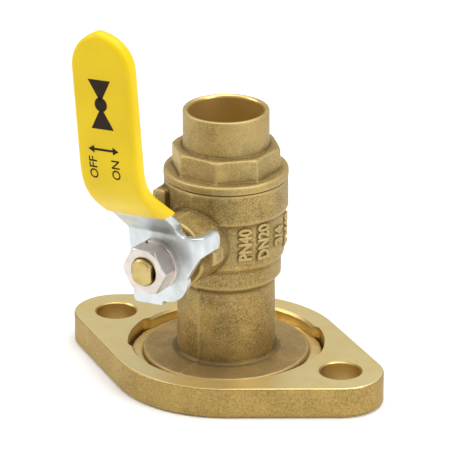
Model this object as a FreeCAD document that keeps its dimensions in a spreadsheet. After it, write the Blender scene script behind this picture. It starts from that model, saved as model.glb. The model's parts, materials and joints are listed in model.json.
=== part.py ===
"""Isolation ball valve with a solder socket, a rotating two-bolt pump flange and a lever.

Frame: the origin is on the pipe axis, in the plane of the gasket face. +Z runs up the pipe to the
solder socket, the two flange bolts lie along X, and the stem points along -Y. The valve stands open,
with the lever up along the pipe.

Parts that turn about the stem are drawn in the stem frame: local X is the row's X, local Y is height
above the stem axis, and local Z is the distance out from the pipe axis.
"""
import FreeCAD
import Part
import math
import os
import Sketcher
from FreeCAD import Placement, Rotation, Vector

PARTS_FOLDER = "parts"
TINY = 1e-6
CLOSE = 0.02
PARALLEL = 0.999

# Driving dimensions in millimetres and degrees. Each one is an alias in the spreadsheet Dims.
DIMENSIONS = {
    # How far a cutter runs past the face it cuts
    "overrun": 1.0,
    # Swivel flange
    "bolt_spacing": 80.16,
    "bolt_hole_radius": 6.1,
    "bolt_hole_chamfer": 0.4,
    "flange_mid_radius": 34.88,
    "flange_end_radius": 12.75,
    "flange_bottom": 0.5,
    "flange_top": 9.56,
    "flange_edge_round": 0.5,
    "lip_bottom": 6.1,
    "lip_radius": 27.85,
    "lip_bevel": 0.7,
    "counterbore_radius": 29.0,
    "notch_radius": 29.5,
    "notch_right": 32.0,
    "notch_left": 200.0,
    "notch_sweep": 34.0,
    "notch_corner": 3.0,
    # Body casting
    "port_radius": 9.5,
    "shoulder_radius": 28.6,
    "shoulder_top": 6.0,
    "disc_radius": 24.9,
    "disc_top": 8.0,
    "neck_radius": 14.6,
    "neck_fillet": 1.2,
    "taper_bottom": 31.2,
    "ring_radius": 16.3,
    "ring_bottom": 32.7,
    "ring_top": 38.0,
    "belly_radius": 17.2,
    "belly_bottom": 39.4,
    "recess_radius": 17.6,
    "recess_bottom": 45.0,
    "band_radius": 18.3,
    "band_bottom": 53.2,
    "band_slope": 0.5,
    "body_top": 62.9,
    "cast_round": 0.3,
    # Stem boss and stop lug
    "stem_height": 47.2,
    "boss_radius": 10.3,
    "boss_face": 28.0,
    "boss_edge": 0.5,
    "lug_root": 8.3,
    "lug_reach": 14.3,
    "lug_back": 22.9,
    "lug_low": -0.9,
    "lug_high": 4.0,
    "lug_round": 1.2,
    "close_lug_left": 14.6,
    "close_lug_right": 10.35,
    "close_lug_low": 5.0,
    "close_lug_high": 13.6,
    "close_web_high": 9.0,
    "close_lug_front": 17.0,
    "close_lug_end": 27.2,
    "close_lug_round": 1.0,
    "toe_back": 23.6,
    # Ball, seats and end adapter
    "ball_radius": 14.6,
    "ball_bore_radius": 9.5,
    "ball_slot_width": 5.0,
    "ball_slot_floor": 10.8,
    "cavity_radius": 15.3,
    "seat_clearance": 0.2,
    "seat_inner_radius": 9.6,
    "seat_outer_radius": 13.6,
    "seat_far": 13.5,
    "seat_near": 8.7,
    "spigot_radius": 15.9,
    "spigot_bottom": 55.2,
    "thread_gap": 0.05,
    "seal_outer_radius": 17.1,
    "seal_bottom": 61.9,
    "collar_radius": 18.4,
    "collar_bottom": 63.1,
    "collar_top": 65.6,
    "collar_round": 0.6,
    "octagon_radius": 16.2,
    "octagon_top": 72.4,
    "octagon_chamfer": 1.1,
    "octagon_turn": 22.5,
    "socket_radius": 12.7,
    "socket_bore_radius": 11.15,
    "socket_floor": 64.5,
    "socket_top": 83.5,
    "socket_mouth_chamfer": 0.5,
    "socket_rim_round": 0.4,
    # Stem and its seals, by distance from the pipe axis
    "stem_radius": 5.0,
    "stem_gap": 0.08,
    "tang_width": 4.8,
    "tang_length": 9.0,
    "tang_tip": 11.0,
    "stem_shoulder_radius": 7.0,
    "stem_shoulder_start": 15.5,
    "stem_shoulder_end": 17.2,
    "shoulder_pocket_radius": 7.3,
    "thrust_radius": 7.2,
    "thrust_start": 17.3,
    "thrust_end": 18.1,
    "packing_start": 20.5,
    "packing_radius": 8.0,
    "packing_ring_length": 2.0,
    "gland_head_flats": 16.0,
    "gland_face": 31.4,
    "stem_end": 44.65,
    "stem_end_chamfer": 0.5,
    "thread_radius": 4.0,
    "stem_flats": 6.4,
    # Lever
    "lever_back": 33.1,
    "lever_front": 35.6,
    "lever_thick": 2.5,
    "lever_lean": 4.5,
    "lever_hole_gap": 0.1,
    "hub_left": 9.65,
    "hub_right": 9.5,
    "hub_bottom": 11.8,
    "hub_corner": 7.6,
    "foot_bottom": 13.2,
    "foot_edge": 0.2,
    "foot_round": 1.4,
    "ear_root": 3.9,
    "ear_outside": 15.0,
    "ear_bend": 0.8,
    "ear_low": 3.2,
    "ear_high": 9.0,
    "ear_tip": 25.2,
    "ear_round": 1.8,
    "waist_low": 8.6,
    "waist_low_at": 9.2,
    "waist_high": 10.6,
    "waist_at": 7.5,
    "flare_low": 13.9,
    "flare_low_at": 10.0,
    "flare_high": 22.5,
    "flare_at": 10.6,
    "flare_left": 8.5,
    "flare_end": 29.0,
    "flare_round": 12.0,
    "crease_height": 9.7,
    "bend_angle": 48.0,
    "crease_round": 1.4,
    "least_round": 0.4,
    "shoulder_bend": 18.0,
    "arm_half_width": 9.2,
    "arm_reach": 55.2,
    "arm_top": 73.0,
    "arm_side_round": 8.0,
    "strip_width": 40.0,
    # Vinyl grip
    "vinyl": 1.0,
    "dip_line": 18.5,
    "vinyl_round": 1.7,
    # Nut and washer
    "washer_inner_radius": 4.25,
    "washer_outer_radius": 7.4,
    "washer_face": 37.6,
    "washer_split": 0.9,
    "washer_split_angle": 112.0,
    "nut_bore_radius": 4.05,
    "nut_countersink": 0.3,
    "nut_flats": 13.0,
    "nut_oversize": 0.01,
    "nut_face": 43.15,
    "nut_turn": 2.0,
    "nut_chamfer": 0.9,
    "nut_chamfer_angle": 30.0,
}


def make_sheet(document, dimensions):
    """Write the driving dimensions into a spreadsheet, one alias to a row."""
    sheet = document.addObject("Spreadsheet::Sheet", "Dims")
    for row, (alias, value) in enumerate(dimensions.items(), start=1):
        sheet.set(f"A{row}", alias)
        sheet.set(f"B{row}", str(value))
        sheet.setAlias(f"B{row}", alias)
    document.recompute()
    return sheet


doc = FreeCAD.newDocument("isolation_valve")
dims = make_sheet(doc, DIMENSIONS)
stem_placement = Placement(Vector(0, 0, dims.stem_height), Rotation(Vector(1, 0, 0), 90))


def size(expression):
    """Return the number that an expression gives now."""
    value = dims.evalExpression(expression)
    return float(getattr(value, "Value", value))


def bind(item, properties):
    """Bind an object's properties to expressions."""
    for name, expression in properties.items():
        item.setExpression(name, expression)


def place_on_stem(item, turn=None):
    """Stand an object drawn in the stem frame on the stem axis, turned by an expression's angle."""
    angle = size(turn) if turn else 0.0
    item.Placement = stem_placement * Placement(Vector(), Rotation(Vector(0, 0, 1), angle))
    item.setExpression("Placement.Base.z", "Dims.stem_height")


# ---- sketches -------------------------------------------------------------------------------------

def origin_plane(body, role):
    """Find one of a body's own origin planes."""
    return next(item for item in body.Origin.OriginFeatures if item.Role == role)


def new_sketch(body, name, plane, offset="0", turn=0.0):
    """Add a sketch to a body, moved along its normal by an expression and turned by an angle."""
    sketch = body.newObject("Sketcher::SketchObject", name)
    sketch.AttachmentSupport = [(origin_plane(body, plane), "")]
    sketch.MapMode = "FlatFace"
    spin = Rotation(Vector(0, 0, 1), turn)
    sketch.AttachmentOffset = Placement(Vector(0, 0, size(offset)), spin)
    sketch.setExpression("AttachmentOffset.Base.z", offset)
    return sketch


def dimension(sketch, constraint, expression):
    """Add a dimensional constraint and bind it to an expression."""
    index = sketch.addConstraint(constraint)
    sketch.setExpression(f"Constraints[{index}]", expression)


def pin_point(sketch, geometry, end, across, up):
    """Hold a point of a sketch at two expressions measured from the sketch's origin."""
    for kind, axis, expression in (("DistanceX", -2, across), ("DistanceY", -1, up)):
        value = size(expression)
        if abs(value) < TINY:
            sketch.addConstraint(Sketcher.Constraint("PointOnObject", geometry, end, axis))
        elif value > 0:
            dimension(sketch, Sketcher.Constraint(kind, -1, 1, geometry, end, value), expression)
        else:
            flipped = Sketcher.Constraint(kind, geometry, end, -1, 1, -value)
            dimension(sketch, flipped, f"-({expression})")


def arc_about(centre, radius, start, end):
    """Make an arc of a circle between two angles in radians."""
    return Part.ArcOfCircle(Part.Circle(centre, Vector(0, 0, 1), radius), start, end)


def rounded_corner(before, corner, after, radius):
    """Work out where a rounding touches both sides of a corner, and its arc."""
    inward = (before - corner).normalize()
    onward = (after - corner).normalize()
    half_angle = math.acos(inward.dot(onward)) / 2
    first = corner + inward * (radius / math.tan(half_angle))
    last = corner + onward * (radius / math.tan(half_angle))
    centre = corner + (inward + onward).normalize() * (radius / math.sin(half_angle))
    ends = [first, last] if inward.cross(onward).z < 0 else [last, first]
    start, end = (math.atan2(point.y - centre.y, point.x - centre.x) for point in ends)
    return first, last, arc_about(centre, radius, start, end), ends[0] is first


def polygon(sketch, corners):
    """Draw a closed outline through corners, each (across, up) or (across, up, rounding radius)."""
    points = [Vector(size(corner[0]), size(corner[1]), 0) for corner in corners]
    starts = list(points)
    ends = points[1:] + points[:1]
    arcs = {}
    for index, corner in enumerate(corners):
        if len(corner) == 3:
            around = (points[index - 1], points[index], points[(index + 1) % len(points)])
            first, last, arc, forward = rounded_corner(*around, size(corner[2]))
            starts[index] = last
            ends[index - 1] = first
            arcs[index] = (sketch.addGeometry(arc), forward)
    lines = [sketch.addGeometry(Part.LineSegment(a, b)) for a, b in zip(starts, ends)]
    for index, corner in enumerate(corners):
        before, after = lines[index - 1], lines[index]
        if index not in arcs:
            sketch.addConstraint(Sketcher.Constraint("Coincident", before, 2, after, 1))
            pin_point(sketch, after, 1, corner[0], corner[1])
            continue
        arc, forward = arcs[index]
        near, far = (1, 2) if forward else (2, 1)
        sketch.addConstraint(Sketcher.Constraint("Tangent", before, 2, arc, near))
        sketch.addConstraint(Sketcher.Constraint("Tangent", arc, far, after, 1))
        dimension(sketch, Sketcher.Constraint("Radius", arc, size(corner[2])), corner[2])
        apex = sketch.addGeometry(Part.Point(points[index]), True)
        pin_point(sketch, apex, 1, corner[0], corner[1])
        for line in (before, after):
            sketch.addConstraint(Sketcher.Constraint("PointOnObject", apex, 1, line))


def circle(sketch, radius, across="0", up="0"):
    """Draw a circle whose radius and centre are expressions."""
    centre = Vector(size(across), size(up), 0)
    index = sketch.addGeometry(Part.Circle(centre, Vector(0, 0, 1), size(radius)))
    dimension(sketch, Sketcher.Constraint("Radius", index, size(radius)), radius)
    pin_point(sketch, index, 3, across, up)


def double_d(sketch, radius, flats):
    """Draw a circle with two flats, the section of the stem's outer end."""
    reach = size(radius)
    half = size(flats) / 2
    rise = (reach ** 2 - half ** 2) ** 0.5
    swing = math.atan2(rise, half)
    corners = [Vector(half, -rise), Vector(half, rise), Vector(-half, rise), Vector(-half, -rise)]
    right = sketch.addGeometry(Part.LineSegment(corners[0], corners[1]))
    top = sketch.addGeometry(arc_about(Vector(), reach, swing, math.pi - swing))
    left = sketch.addGeometry(Part.LineSegment(corners[2], corners[3]))
    foot = sketch.addGeometry(arc_about(Vector(), reach, math.pi + swing, 2 * math.pi - swing))
    for arc in (top, foot):
        pin_point(sketch, arc, 3, "0", "0")
        dimension(sketch, Sketcher.Constraint("Radius", arc, reach), radius)
    joins = ((right, 1, foot, 2), (right, 2, top, 1), (left, 1, top, 2), (left, 2, foot, 1))
    for line, line_end, arc, arc_end in joins:
        sketch.addConstraint(Sketcher.Constraint("Coincident", line, line_end, arc, arc_end))
    for line in (right, left):
        sketch.addConstraint(Sketcher.Constraint("Vertical", line))
    dimension(sketch, Sketcher.Constraint("DistanceX", -1, 1, right, 1, half), f"({flats}) / 2")
    dimension(sketch, Sketcher.Constraint("DistanceX", left, 1, -1, 1, half), f"({flats}) / 2")


# ---- features -------------------------------------------------------------------------------------

def new_body(label):
    """Add a PartDesign body whose label names its file."""
    body = doc.addObject("PartDesign::Body", label)
    body.Label = label
    return body


def extrude(body, kind, name, sketch, length, flip=False, midplane=False):
    """Pad or pocket a sketch by an expression's length."""
    feature = body.newObject(f"PartDesign::{kind}", name)
    feature.Profile = sketch
    feature.Reversed = flip
    feature.Midplane = midplane
    feature.Length = size(length)
    feature.setExpression("Length", length)
    doc.recompute()
    return feature


def turn_profile(body, kind, name, sketch):
    """Revolve or groove a sketch once round its own vertical axis."""
    feature = body.newObject(f"PartDesign::{kind}", name)
    feature.Profile = sketch
    feature.ReferenceAxis = (sketch, ["V_Axis"])
    feature.Angle = 360
    doc.recompute()
    return feature


def removed(body, make_cut):
    """Run a cutting step and stop if it takes nothing away."""
    before = body.Shape.Volume
    feature = make_cut()
    if body.Shape.Volume >= before - TINY:
        raise RuntimeError(f"{feature.Name} in {body.Label} cuts nothing")
    return feature


def edge_names(shape, wanted):
    """List the names of the edges that a test picks out."""
    return [f"Edge{index}" for index, edge in enumerate(shape.Edges, start=1) if wanted(edge)]


def dress(body, kind, name, extent, wanted):
    """Round or chamfer the chosen edges of a body's latest shape."""
    base = body.Tip
    names = edge_names(base.Shape, wanted)
    if not names:
        raise RuntimeError(f"{name} in {body.Label} finds no edge")
    feature = body.newObject(f"PartDesign::{kind}", name)
    feature.Base = (base, names)
    target = "Radius" if kind == "Fillet" else "Size"
    setattr(feature, target, size(extent))
    feature.setExpression(target, extent)
    doc.recompute()
    if "Invalid" in feature.State or feature.Shape.isNull():
        raise RuntimeError(f"{name} in {body.Label} fails")
    return feature


def is_ring(edge, radius, height, axis="z"):
    """Tell whether an edge is a full circle of one radius at one height along an axis."""
    if not isinstance(edge.Curve, Part.Circle) or not edge.isClosed():
        return False
    level = getattr(edge.Curve.Center, axis)
    return abs(edge.Curve.Radius - size(radius)) < CLOSE and abs(level - size(height)) < CLOSE


def is_line_at(edge, direction, **place):
    """Tell whether an edge is straight, runs in one direction and passes through a place."""
    if not isinstance(edge.Curve, Part.Line):
        return False
    if abs(edge.tangentAt(edge.FirstParameter).dot(direction)) < PARALLEL:
        return False
    middle = edge.CenterOfMass
    return all(abs(getattr(middle, axis) - size(value)) < CLOSE for axis, value in place.items())


def primitive(kind, name, at=("0", "0", "0"), **properties):
    """Add a Part primitive with its sizes and its place bound to expressions."""
    item = doc.addObject(f"Part::{kind}", name)
    bind(item, properties)
    bind(item, {f"Placement.Base.{axis}": value for axis, value in zip("xyz", at)})
    return item


def tube(name, inner, outer, start, length):
    """Make a plain ring along local Z from two cylinders."""
    skin = primitive("Cylinder", f"{name}_skin", ("0", "0", start), Radius=outer, Height=length)
    core = primitive("Cylinder", f"{name}_core", ("0", "0", start), Radius=inner, Height=length)
    return combine("Cut", name, skin, core)


def combine(kind, name, base, tool):
    """Join two objects with a Part boolean."""
    item = doc.addObject(f"Part::{kind}", name)
    item.Base = base
    item.Tool = tool
    doc.recompute()
    return item


# ---- valve body -----------------------------------------------------------------------------------

def build_valve_body():
    """Cast body: gasket disc, neck, ball housing, stem boss and stop lug."""
    body = new_body("valve_body")
    outside = new_sketch(body, "body_outside", "XZ_Plane")
    polygon(outside, [
        ("0", "0"),
        ("Dims.shoulder_radius", "0"),
        ("Dims.shoulder_radius", "Dims.shoulder_top"),
        ("Dims.disc_radius", "Dims.shoulder_top"),
        ("Dims.disc_radius", "Dims.disc_top"),
        ("Dims.neck_radius", "Dims.disc_top"),
        ("Dims.neck_radius", "Dims.taper_bottom"),
        ("Dims.ring_radius", "Dims.ring_bottom"),
        ("Dims.ring_radius", "Dims.ring_top"),
        ("Dims.belly_radius", "Dims.belly_bottom"),
        ("Dims.recess_radius", "Dims.recess_bottom"),
        ("Dims.recess_radius", "Dims.band_bottom"),
        ("Dims.band_radius", "Dims.band_bottom + Dims.band_slope"),
        ("Dims.band_radius", "Dims.body_top"),
        ("0", "Dims.body_top"),
    ])
    turn_profile(body, "Revolution", "body_turned", outside)

    boss = new_sketch(body, "boss_circle", "XZ_Plane")
    circle(boss, "Dims.boss_radius", up="Dims.stem_height")
    extrude(body, "Pad", "boss", boss, "Dims.boss_face")

    lug = new_sketch(body, "lug_outline", "XZ_Plane", "Dims.lug_back")
    polygon(lug, [
        ("Dims.lug_root", "Dims.stem_height + Dims.lug_low"),
        ("Dims.lug_reach", "Dims.stem_height + Dims.lug_low"),
        ("Dims.lug_reach", "Dims.stem_height + Dims.lug_high"),
        ("Dims.lug_root", "Dims.stem_height + Dims.lug_high"),
    ])
    extrude(body, "Pad", "stop_lug", lug, "Dims.boss_face - Dims.lug_back")

    dress(body, "Fillet", "lug_corners", "Dims.lug_round",
          lambda edge: is_line_at(edge, Vector(0, 1, 0), x="Dims.lug_reach"))

    low = "Dims.stem_height + Dims.close_lug_low"
    for name, height, start, end in (
        ("close_lug", "Dims.close_lug_high", "Dims.recess_radius / 2", "Dims.close_lug_front"),
        ("close_lug_web", "Dims.close_web_high", "Dims.close_lug_front", "Dims.toe_back"),
        ("close_lug_toe", "Dims.close_lug_high", "Dims.toe_back", "Dims.close_lug_end"),
    ):
        high = f"Dims.stem_height + {height}"
        outline = new_sketch(body, f"{name}_outline", "XZ_Plane", start)
        polygon(outline, [
            ("-Dims.close_lug_left", low, "Dims.close_lug_round"),
            ("-Dims.close_lug_right", low),
            ("-Dims.close_lug_right", high, "Dims.close_lug_round"),
            ("-Dims.close_lug_left", high, "Dims.close_lug_round"),
        ])
        extrude(body, "Pad", name, outline, f"{end} - {start}")

    dress(body, "Fillet", "boss_front_edge", "Dims.boss_edge",
          lambda edge: isinstance(edge.Curve, Part.Circle)
          and abs(edge.CenterOfMass.y + size("Dims.boss_face")) < TINY
          and abs(edge.Curve.Radius - size("Dims.boss_radius")) < TINY)
    dress(body, "Fillet", "neck_foot", "Dims.neck_fillet",
          lambda edge: is_ring(edge, "Dims.neck_radius", "Dims.disc_top"))
    dress(body, "Fillet", "disc_edge", "Dims.cast_round",
          lambda edge: is_ring(edge, "Dims.disc_radius", "Dims.disc_top"))

    waterway = new_sketch(body, "waterway", "XZ_Plane")
    polygon(waterway, [
        ("0", "-Dims.overrun"),
        ("Dims.port_radius", "-Dims.overrun"),
        ("Dims.port_radius", "Dims.stem_height - Dims.seat_far"),
        ("Dims.seat_outer_radius", "Dims.stem_height - Dims.seat_far"),
        ("Dims.seat_outer_radius", "Dims.stem_height - Dims.seat_near"),
        ("Dims.cavity_radius", "Dims.stem_height - Dims.seat_near"),
        ("Dims.cavity_radius", "Dims.spigot_bottom"),
        ("Dims.spigot_radius + Dims.thread_gap", "Dims.spigot_bottom"),
        ("Dims.spigot_radius + Dims.thread_gap", "Dims.seal_bottom"),
        ("Dims.seal_outer_radius", "Dims.seal_bottom"),
        ("Dims.seal_outer_radius", "Dims.body_top + Dims.overrun"),
        ("0", "Dims.body_top + Dims.overrun"),
    ])
    removed(body, lambda: turn_profile(body, "Groove", "hollow", waterway))

    for name, radius, length in (
        ("shoulder_pocket", "Dims.shoulder_pocket_radius", "Dims.thrust_end"),
        ("stem_bore", "Dims.stem_radius + Dims.stem_gap", "Dims.boss_face + Dims.overrun"),
    ):
        ring = new_sketch(body, f"{name}_circle", "XZ_Plane")
        circle(ring, radius, up="Dims.stem_height")
        removed(body, lambda: extrude(body, "Pocket", name, ring, length, flip=True))

    packing = new_sketch(body, "packing_circle", "XZ_Plane", "Dims.packing_start")
    circle(packing, "Dims.packing_radius", up="Dims.stem_height")
    length = "Dims.boss_face - Dims.packing_start + Dims.overrun"
    removed(body, lambda: extrude(body, "Pocket", "packing_chamber", packing, length, flip=True))
    return body


def build_end_adapter():
    """Screwed-in end piece: spigot, collar, octagon for the wrench and solder socket."""
    body = new_body("adapter_turning")
    outside = new_sketch(body, "adapter_outside", "XZ_Plane")
    polygon(outside, [
        ("0", "Dims.spigot_bottom"),
        ("Dims.spigot_radius", "Dims.spigot_bottom"),
        ("Dims.spigot_radius", "Dims.collar_bottom"),
        ("Dims.collar_radius", "Dims.collar_bottom"),
        ("Dims.collar_radius", "Dims.collar_top"),
        ("Dims.socket_radius", "Dims.collar_top"),
        ("Dims.socket_radius", "Dims.socket_top"),
        ("0", "Dims.socket_top"),
    ])
    turn_profile(body, "Revolution", "adapter_turned", outside)
    dress(body, "Fillet", "collar_edge", "Dims.collar_round",
          lambda edge: is_ring(edge, "Dims.collar_radius", "Dims.collar_top"))
    dress(body, "Fillet", "socket_rim", "Dims.socket_rim_round",
          lambda edge: is_ring(edge, "Dims.socket_radius", "Dims.socket_top"))

    blank = primitive("Prism", "octagon_blank", ("0", "0", "Dims.collar_top - Dims.overrun"),
                      Circumradius="Dims.octagon_radius",
                      Height="Dims.octagon_top - Dims.collar_top + Dims.overrun")
    blank.Polygon = 8
    blank.Placement.Rotation = Rotation(Vector(0, 0, 1), size("Dims.octagon_turn"))
    cone_height = "Dims.octagon_top - Dims.collar_top + Dims.overrun"
    limit = primitive("Cone", "octagon_limit", ("0", "0", "Dims.collar_top - Dims.overrun"),
                      Radius1=f"Dims.octagon_radius - Dims.octagon_chamfer + 2 * ({cone_height})",
                      Radius2="Dims.octagon_radius - Dims.octagon_chamfer",
                      Height=cone_height)
    octagon = combine("Common", "octagon", blank, limit)
    turned = combine("Fuse", "adapter_solid", body, octagon)

    bore = new_body("adapter_bore")
    hollow = new_sketch(bore, "adapter_hollow", "XZ_Plane")
    polygon(hollow, [
        ("0", "Dims.spigot_bottom - Dims.overrun"),
        ("Dims.seat_outer_radius", "Dims.spigot_bottom - Dims.overrun"),
        ("Dims.seat_outer_radius", "Dims.stem_height + Dims.seat_far"),
        ("Dims.port_radius", "Dims.stem_height + Dims.seat_far"),
        ("Dims.port_radius", "Dims.socket_floor"),
        ("Dims.socket_bore_radius", "Dims.socket_floor"),
        ("Dims.socket_bore_radius", "Dims.socket_top - Dims.socket_mouth_chamfer"),
        ("Dims.socket_bore_radius + Dims.socket_mouth_chamfer", "Dims.socket_top"),
        ("Dims.socket_bore_radius + Dims.socket_mouth_chamfer", "Dims.socket_top + Dims.overrun"),
        ("0", "Dims.socket_top + Dims.overrun"),
    ])
    turn_profile(bore, "Revolution", "adapter_hollow_turned", hollow)
    return combine("Cut", "end_adapter", turned, bore)


def build_seal_ring():
    """Flat ring under the adapter's collar."""
    return tube("body_seal_ring", "Dims.spigot_radius + Dims.thread_gap",
                "Dims.seal_outer_radius - Dims.thread_gap", "Dims.seal_bottom",
                "Dims.collar_bottom - Dims.seal_bottom")


def build_seat_ring(name, start):
    """Ring seat with a spherical face for the ball, from one height along the pipe."""
    ring = tube(f"{name}_ring", "Dims.seat_inner_radius",
                "Dims.seat_outer_radius - Dims.thread_gap", start,
                "Dims.seat_far - Dims.seat_near")
    relief = primitive("Sphere", f"{name}_relief", ("0", "0", "Dims.stem_height"),
                       Radius="Dims.ball_radius + Dims.seat_clearance")
    return combine("Cut", name, ring, relief)


# ---- ball, stem and seals, in the stem frame ------------------------------------------------------

def build_ball():
    """Bored ball with the slot that the stem's tang turns it by."""
    sphere = primitive("Sphere", "ball_sphere", Radius="Dims.ball_radius")
    bore = primitive("Cylinder", "ball_bore", ("0", "0", "-Dims.ball_radius"),
                     Radius="Dims.ball_bore_radius", Height="2 * Dims.ball_radius")
    bored = combine("Cut", "ball_bored", sphere, bore)
    slot = primitive("Box", "ball_slot",
                     ("-Dims.ball_slot_width / 2", "-Dims.ball_radius - Dims.overrun", "-Dims.ball_radius"),
                     Length="Dims.ball_slot_width",
                     Width="Dims.ball_radius + Dims.overrun - Dims.ball_slot_floor",
                     Height="2 * Dims.ball_radius")
    ball = combine("Cut", "ball", bored, slot)
    ball.setExpression("Placement.Base.z", "Dims.stem_height")
    return ball


def build_stem():
    """Blow-out-proof stem: tang, inner shoulder, shaft and flatted outer end."""
    body = new_body("stem")
    tang = new_sketch(body, "tang_outline", "XY_Plane", "Dims.tang_tip")
    polygon(tang, [
        ("-Dims.tang_width / 2", "-Dims.tang_length / 2"),
        ("Dims.tang_width / 2", "-Dims.tang_length / 2"),
        ("Dims.tang_width / 2", "Dims.tang_length / 2"),
        ("-Dims.tang_width / 2", "Dims.tang_length / 2"),
    ])
    extrude(body, "Pad", "tang", tang, "Dims.stem_shoulder_end - Dims.tang_tip")
    for name, radius, start, end in (
        ("inner_shoulder", "Dims.stem_shoulder_radius", "Dims.stem_shoulder_start",
         "Dims.stem_shoulder_end"),
        ("shaft", "Dims.stem_radius", "Dims.stem_shoulder_start", "Dims.lever_back"),
    ):
        ring = new_sketch(body, f"{name}_circle", "XY_Plane", start)
        circle(ring, radius)
        extrude(body, "Pad", name, ring, f"{end} - {start}")
    flats = new_sketch(body, "flatted_end", "XY_Plane", "Dims.lever_back - Dims.overrun")
    double_d(flats, "Dims.thread_radius", "Dims.stem_flats")
    extrude(body, "Pad", "flatted", flats, "Dims.stem_end - Dims.lever_back + Dims.overrun")
    dress(body, "Chamfer", "end_chamfer", "Dims.stem_end_chamfer",
          lambda edge: abs(edge.CenterOfMass.z - size("Dims.stem_end")) < TINY)
    place_on_stem(body)
    return body


def build_stem_rings():
    """PTFE thrust washer and the two packing rings round the stem."""
    bore = "Dims.stem_radius + Dims.stem_gap"
    rings = [tube("thrust_washer", bore, "Dims.thrust_radius", "Dims.thrust_start",
                  "Dims.thrust_end - Dims.thrust_start")]
    for count, name in enumerate(("packing_ring_inner", "packing_ring_outer")):
        start = f"Dims.packing_start + {count} * Dims.packing_ring_length"
        rings.append(tube(name, bore, "Dims.packing_radius - Dims.thread_gap", start,
                          "Dims.packing_ring_length"))
    for ring in rings:
        place_on_stem(ring)
    return rings


def build_gland():
    """Packing gland: threaded sleeve with a hexagon head."""
    start = "Dims.packing_start + 2 * Dims.packing_ring_length"
    sleeve = primitive("Cylinder", "gland_sleeve", ("0", "0", start),
                       Radius="Dims.packing_radius - Dims.thread_gap",
                       Height=f"Dims.boss_face - ({start}) + Dims.overrun")
    head = primitive("Prism", "gland_head", ("0", "0", "Dims.boss_face"),
                     Circumradius="Dims.gland_head_flats / sqrt(3)",
                     Height="Dims.gland_face - Dims.boss_face")
    head.Polygon = 6
    solid = combine("Fuse", "gland_solid", sleeve, head)
    bore = primitive("Cylinder", "gland_bore", ("0", "0", "Dims.packing_start"),
                     Radius="Dims.stem_radius + Dims.stem_gap", Height="Dims.boss_face")
    gland = combine("Cut", "packing_gland", solid, bore)
    place_on_stem(gland)
    return gland


# ---- lever, in the stem frame ---------------------------------------------------------------------

def arm_profile(skin):
    """Side view of the bent strip, grown on every side by an expression, as height and reach."""
    shift = "Dims.lever_thick * tan(Dims.bend_angle / 2)"
    swell = f"({skin}) * tan(Dims.bend_angle / 2)"
    rise = "(Dims.arm_reach - Dims.lever_front) / tan(Dims.bend_angle)"
    back = f"Dims.lever_back - ({skin})"
    front = f"Dims.lever_front + {skin}"
    out_back = f"Dims.arm_reach - Dims.lever_thick - ({skin})"
    out_front = f"Dims.arm_reach + {skin}"
    return [
        ("-Dims.foot_bottom", back),
        (f"Dims.crease_height + {shift} + {swell}", back,
         f"Dims.crease_round + Dims.lever_thick + {skin}"),
        (f"Dims.crease_height + {shift} + {rise} + {swell}", out_back,
         f"Dims.shoulder_bend - Dims.lever_thick - ({skin})"),
        (f"Dims.arm_top + {skin}", out_back),
        (f"Dims.arm_top + {skin}", out_front),
        (f"Dims.crease_height + {rise} - {swell}", out_front, f"Dims.shoulder_bend + {skin}"),
        (f"Dims.crease_height - {swell}", front, f"max(Dims.crease_round - ({skin}); Dims.least_round)"),
        ("-Dims.foot_bottom", front),
    ]


def bent_strip(body, name, skin, outline):
    """Make the bent strip and trim it to its front outline."""
    profile = new_sketch(body, f"{name}_side_view", "YZ_Plane")
    polygon(profile, arm_profile(skin))
    extrude(body, "Pad", f"{name}_strip", profile, "Dims.strip_width", midplane=True)
    frame = new_sketch(body, f"{name}_front_view", "XY_Plane")
    beyond = "2 * Dims.arm_top"
    polygon(frame, [(f"-{beyond}", f"-{beyond}"), (beyond, f"-{beyond}"),
                    (beyond, beyond), (f"-{beyond}", beyond)])
    polygon(frame, outline)
    removed(body, lambda: extrude(body, "Pocket", f"{name}_trim", frame, beyond, flip=True))


def lever_outline():
    """Front view of the lever: hub, foot, root of the ear, waist, flare and arm with a round end."""
    bend_start = "Dims.ear_outside - Dims.lever_thick - Dims.ear_bend"
    end_round = "Dims.arm_half_width - Dims.thread_gap"
    return [
        ("-Dims.hub_left", "Dims.crease_height", "Dims.arm_side_round / 2"),
        ("-Dims.hub_left", "-Dims.foot_bottom", "Dims.foot_round"),
        ("Dims.foot_edge", "-Dims.foot_bottom"),
        ("Dims.foot_edge", "-Dims.hub_bottom"),
        ("Dims.hub_right", "-Dims.hub_bottom", "Dims.hub_corner"),
        ("Dims.hub_right", "-Dims.ear_root"),
        (bend_start, "-Dims.ear_root"),
        (bend_start, "Dims.ear_high"),
        ("Dims.waist_low_at", "Dims.waist_low", "Dims.foot_round"),
        ("Dims.waist_at", "Dims.waist_high", "Dims.ear_round"),
        ("Dims.flare_low_at", "Dims.flare_low", "Dims.arm_side_round / 2"),
        ("Dims.flare_at", "Dims.flare_high", "Dims.flare_round"),
        ("Dims.arm_half_width", "Dims.flare_end", "Dims.flare_round"),
        ("Dims.arm_half_width", "Dims.arm_top", end_round),
        ("-Dims.arm_half_width", "Dims.arm_top", end_round),
        ("-Dims.arm_half_width", "Dims.flare_end", "Dims.flare_round"),
        ("-Dims.flare_left", "Dims.flare_high", "Dims.arm_side_round"),
    ]


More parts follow.
